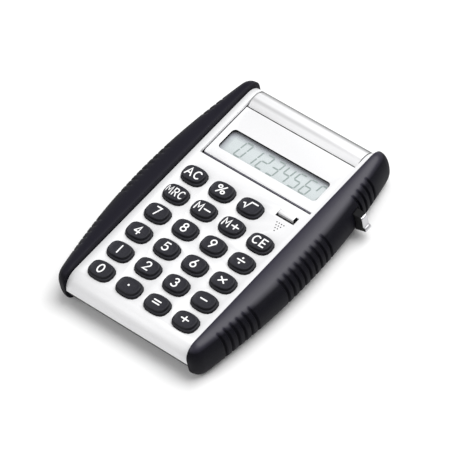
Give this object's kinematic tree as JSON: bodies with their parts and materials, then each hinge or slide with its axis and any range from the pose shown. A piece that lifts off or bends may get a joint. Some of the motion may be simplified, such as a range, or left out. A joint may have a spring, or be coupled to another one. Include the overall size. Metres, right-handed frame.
{
  "type": "calculator",
  "caption": "Pocket calculator with a silver face, dark oval keys, ribbed black side grips, a flip-up display on a hinge barrel, a sliding catch and a side lever",
  "frame": {"origin": "middle of the flat back of the rear cover, on the surface it rests on", "axes": "+X across the keys to the right, +Y along the body towards the display hinge, +Z out of the keypad"},
  "size_m": [0.0821, 0.1088, 0.0159],
  "materials": {
    "silver_plastic": "satin",
    "grip_rubber": "satin",
    "dark_plastic": "matte",
    "key_plastic": "satin",
    "drum_metal": "satin",
    "steel": "satin",
    "lens": "gloss",
    "lcd": "satin",
    "board": "satin",
    "mat": "matte"
  },
  "bodies": {
    "case": {"rear_cover": "dark_plastic", "front_frame": "silver_plastic", "left_grip": "grip_rubber", "right_grip": "grip_rubber", "hinge_pin": "steel", "hinge_spring": "steel", "lever_pin": "steel", "lever_spring": "steel", "main_board": "board", "key_mat": "mat", "chip_blob": "dark_plastic", "ribbon_connector": "dark_plastic", "battery_cell": "steel", "battery_contact_side": "steel", "battery_contact_top": "steel", "battery_door": "dark_plastic", "door_screw": "steel", "case_screw_1": "steel", "case_screw_2": "steel", "case_screw_3": "steel", "case_screw_4": "steel"},
    "display": {"display_panel": "silver_plastic", "display_back": "dark_plastic", "display_lens": "lens", "lcd_glass": "lcd", "hinge_drum": "drum_metal", "drum_cap": "dark_plastic"},
    "catch": {"release_tab": "silver_plastic"},
    "lever": {"side_lever": "silver_plastic"},
    "key_0_body": {"key_0": "key_plastic"},
    "key_point_body": {"key_point": "key_plastic"},
    "key_equals_body": {"key_equals": "key_plastic"},
    "key_plus_body": {"key_plus": "key_plastic"},
    "key_1_body": {"key_1": "key_plastic"},
    "key_2_body": {"key_2": "key_plastic"},
    "key_3_body": {"key_3": "key_plastic"},
    "key_minus_body": {"key_minus": "key_plastic"},
    "key_4_body": {"key_4": "key_plastic"},
    "key_5_body": {"key_5": "key_plastic"},
    "key_6_body": {"key_6": "key_plastic"},
    "key_times_body": {"key_times": "key_plastic"},
    "key_7_body": {"key_7": "key_plastic"},
    "key_8_body": {"key_8": "key_plastic"},
    "key_9_body": {"key_9": "key_plastic"},
    "key_divide_body": {"key_divide": "key_plastic"},
    "key_memory_recall_body": {"key_memory_recall": "key_plastic"},
    "key_memory_minus_body": {"key_memory_minus": "key_plastic"},
    "key_memory_plus_body": {"key_memory_plus": "key_plastic"},
    "key_clear_entry_body": {"key_clear_entry": "key_plastic"},
    "key_all_clear_body": {"key_all_clear": "key_plastic"},
    "key_percent_body": {"key_percent": "key_plastic"},
    "key_root_body": {"key_root": "key_plastic"}
  },
  "joints": [
    {"name": "display_hinge", "type": "hinge", "parent": "case", "child": "display", "pos_m": [0, 0.04782, 0.0072], "axis": [-1, 0, 0], "range_deg": [0, 60]},
    {"name": "catch_slide", "type": "slide", "parent": "case", "child": "catch", "axis": [0, -1, 0], "range_m": [0, 0.0006], "stiffness_N_per_m": 500, "springref_m": -0.0001},
    {"name": "lever_swing", "type": "hinge", "parent": "case", "child": "lever", "pos_m": [0.0333, 0.02852, 0.011], "axis": [0, 1, 0], "range_deg": [0, 12], "stiffness_Nm_per_rad": 0.04, "springref_deg": -1.15},
    {"name": "key_0_press", "type": "slide", "parent": "case", "child": "key_0_body", "axis": [0, 0, -1], "range_m": [0, 0.001], "stiffness_N_per_m": 600, "springref_m": -0.0001},
    {"name": "key_point_press", "type": "slide", "parent": "case", "child": "key_point_body", "axis": [0, 0, -1], "range_m": [0, 0.001], "stiffness_N_per_m": 600, "springref_m": -0.0001},
    {"name": "key_equals_press", "type": "slide", "parent": "case", "child": "key_equals_body", "axis": [0, 0, -1], "range_m": [0, 0.001], "stiffness_N_per_m": 600, "springref_m": -0.0001},
    {"name": "key_plus_press", "type": "slide", "parent": "case", "child": "key_plus_body", "axis": [0, 0, -1], "range_m": [0, 0.001], "stiffness_N_per_m": 600, "springref_m": -0.0001},
    {"name": "key_1_press", "type": "slide", "parent": "case", "child": "key_1_body", "axis": [0, 0, -1], "range_m": [0, 0.001], "stiffness_N_per_m": 600, "springref_m": -0.0001},
    {"name": "key_2_press", "type": "slide", "parent": "case", "child": "key_2_body", "axis": [0, 0, -1], "range_m": [0, 0.001], "stiffness_N_per_m": 600, "springref_m": -0.0001},
    {"name": "key_3_press", "type": "slide", "parent": "case", "child": "key_3_body", "axis": [0, 0, -1], "range_m": [0, 0.001], "stiffness_N_per_m": 600, "springref_m": -0.0001},
    {"name": "key_minus_press", "type": "slide", "parent": "case", "child": "key_minus_body", "axis": [0, 0, -1], "range_m": [0, 0.001], "stiffness_N_per_m": 600, "springref_m": -0.0001},
    {"name": "key_4_press", "type": "slide", "parent": "case", "child": "key_4_body", "axis": [0, 0, -1], "range_m": [0, 0.001], "stiffness_N_per_m": 600, "springref_m": -0.0001},
    {"name": "key_5_press", "type": "slide", "parent": "case", "child": "key_5_body", "axis": [0, 0, -1], "range_m": [0, 0.001], "stiffness_N_per_m": 600, "springref_m": -0.0001},
    {"name": "key_6_press", "type": "slide", "parent": "case", "child": "key_6_body", "axis": [0, 0, -1], "range_m": [0, 0.001], "stiffness_N_per_m": 600, "springref_m": -0.0001},
    {"name": "key_times_press", "type": "slide", "parent": "case", "child": "key_times_body", "axis": [0, 0, -1], "range_m": [0, 0.001], "stiffness_N_per_m": 600, "springref_m": -0.0001},
    {"name": "key_7_press", "type": "slide", "parent": "case", "child": "key_7_body", "axis": [0, 0, -1], "range_m": [0, 0.001], "stiffness_N_per_m": 600, "springref_m": -0.0001},
    {"name": "key_8_press", "type": "slide", "parent": "case", "child": "key_8_body", "axis": [0, 0, -1], "range_m": [0, 0.001], "stiffness_N_per_m": 600, "springref_m": -0.0001},
    {"name": "key_9_press", "type": "slide", "parent": "case", "child": "key_9_body", "axis": [0, 0, -1], "range_m": [0, 0.001], "stiffness_N_per_m": 600, "springref_m": -0.0001},
    {"name": "key_divide_press", "type": "slide", "parent": "case", "child": "key_divide_body", "axis": [0, 0, -1], "range_m": [0, 0.001], "stiffness_N_per_m": 600, "springref_m": -0.0001},
    {"name": "key_memory_recall_press", "type": "slide", "parent": "case", "child": "key_memory_recall_body", "axis": [0, 0, -1], "range_m": [0, 0.001], "stiffness_N_per_m": 600, "springref_m": -0.0001},
    {"name": "key_memory_minus_press", "type": "slide", "parent": "case", "child": "key_memory_minus_body", "axis": [0, 0, -1], "range_m": [0, 0.001], "stiffness_N_per_m": 600, "springref_m": -0.0001},
    {"name": "key_memory_plus_press", "type": "slide", "parent": "case", "child": "key_memory_plus_body", "axis": [0, 0, -1], "range_m": [0, 0.001], "stiffness_N_per_m": 600, "springref_m": -0.0001},
    {"name": "key_clear_entry_press", "type": "slide", "parent": "case", "child": "key_clear_entry_body", "axis": [0, 0, -1], "range_m": [0, 0.001], "stiffness_N_per_m": 600, "springref_m": -0.0001},
    {"name": "key_all_clear_press", "type": "slide", "parent": "case", "child": "key_all_clear_body", "axis": [0, 0, -1], "range_m": [0, 0.001], "stiffness_N_per_m": 600, "springref_m": -0.0001},
    {"name": "key_percent_press", "type": "slide", "parent": "case", "child": "key_percent_body", "axis": [0, 0, -1], "range_m": [0, 0.001], "stiffness_N_per_m": 600, "springref_m": -0.0001},
    {"name": "key_root_press", "type": "slide", "parent": "case", "child": "key_root_body", "axis": [0, 0, -1], "range_m": [0, 0.001], "stiffness_N_per_m": 600, "springref_m": -0.0001}
  ]
}
